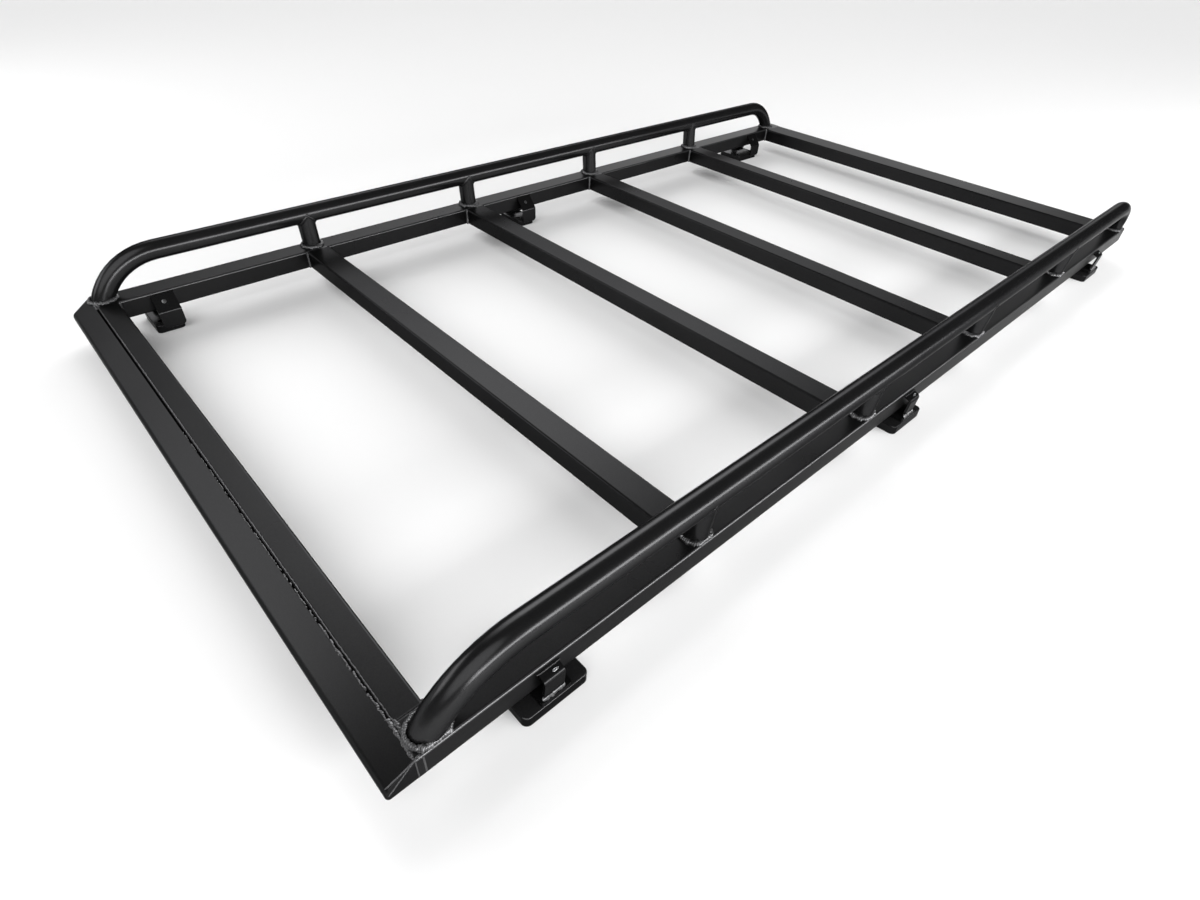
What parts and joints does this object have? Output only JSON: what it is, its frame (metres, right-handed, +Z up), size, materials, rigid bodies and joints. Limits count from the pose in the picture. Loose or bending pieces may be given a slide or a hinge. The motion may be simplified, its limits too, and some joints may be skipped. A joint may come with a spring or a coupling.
{
  "type": "roof rack",
  "caption": "Open vehicle roof rack of welded box tube: side beams, crossbars, a folded nose, bent tube side rails on posts, and welded feet.",
  "frame": {"origin": "middle of the rack, level with the undersides of the feet", "axes": "+Z up, +Y to the rear of the vehicle with the nose at -Y, +X to the vehicle's left"},
  "size_m": [1.228, 2.229, 0.1634],
  "materials": {
    "frame_coat": "satin black powder coat",
    "rail_coat": "satin black powder coat",
    "foot_coat": "satin black powder coat"
  },
  "bodies": {
    "root": {"beam_end_plug_left": "frame_coat", "beam_end_plug_right": "frame_coat", "crossbar_1": "frame_coat", "crossbar_2": "frame_coat", "crossbar_3": "frame_coat", "crossbar_4": "frame_coat", "foot_pads_left": "foot_coat", "foot_pads_right": "foot_coat", "foot_tray_left_1": "foot_coat", "foot_tray_left_2": "foot_coat", "foot_tray_left_3": "foot_coat", "foot_tray_right_1": "foot_coat", "foot_tray_right_2": "foot_coat", "foot_tray_right_3": "foot_coat", "front_cross_tube": "frame_coat", "front_nose_plate": "frame_coat", "inner_strap_left_1": "foot_coat", "inner_strap_left_2": "foot_coat", "inner_strap_left_3": "foot_coat", "inner_strap_right_1": "foot_coat", "inner_strap_right_2": "foot_coat", "inner_strap_right_3": "foot_coat", "nose_end_cap_left": "frame_coat", "nose_end_cap_right": "frame_coat", "outer_strap_left_1": "foot_coat", "outer_strap_left_2": "foot_coat", "outer_strap_left_3": "foot_coat", "outer_strap_right_1": "foot_coat", "outer_strap_right_2": "foot_coat", "outer_strap_right_3": "foot_coat", "rail_post_left_1": "rail_coat", "rail_post_left_2": "rail_coat", "rail_post_left_3": "rail_coat", "rail_post_left_4": "rail_coat", "rail_post_right_1": "rail_coat", "rail_post_right_2": "rail_coat", "rail_post_right_3": "rail_coat", "rail_post_right_4": "rail_coat", "rear_crossbar": "frame_coat", "side_beam_left": "frame_coat", "side_beam_right": "frame_coat", "side_rail_left": "rail_coat", "side_rail_right": "rail_coat"}
  },
  "joints": []
}
